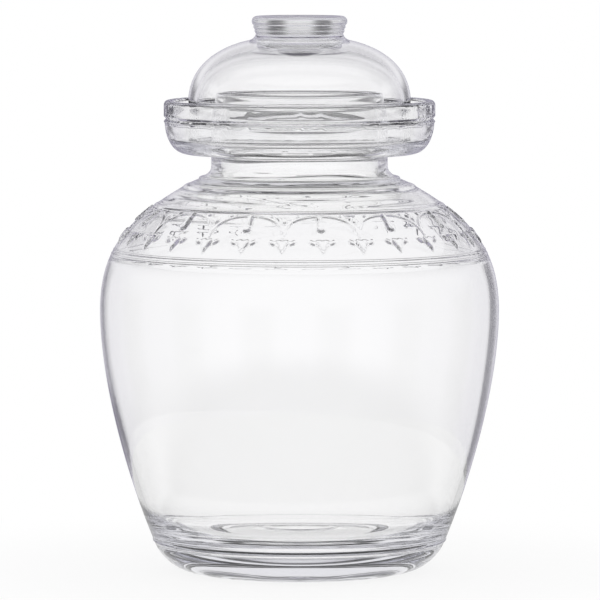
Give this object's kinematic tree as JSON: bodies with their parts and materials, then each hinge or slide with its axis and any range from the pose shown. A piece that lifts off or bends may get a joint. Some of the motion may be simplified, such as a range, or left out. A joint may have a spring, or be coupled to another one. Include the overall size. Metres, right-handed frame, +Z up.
{
  "type": "fermentation crock",
  "caption": "Clear glass fermentation crock with a round belly, a raised border on the shoulder, a water-seal moat round the neck and a lift-off domed lid with a knob.",
  "frame": {"origin": "centre of the foot ring, on the surface that the crock stands on", "axes": "+Z up along the axis of the jar and the lid; +X to the right and +Y away in the pictured view"},
  "size_m": [0.1988, 0.1994, 0.276],
  "materials": {
    "clear_glass": "clear soda-lime glass, pressed and blown, fire-polished, with a faint cool tint in thick places"
  },
  "bodies": {
    "jar": {"jar": "clear_glass"},
    "lid": {"lid": "clear_glass"}
  },
  "joints": [
    {"name": "lid_lift", "type": "slide", "parent": "jar", "child": "lid", "axis": [0, 0, 1], "range_m": [0, 0.12]}
  ]
}
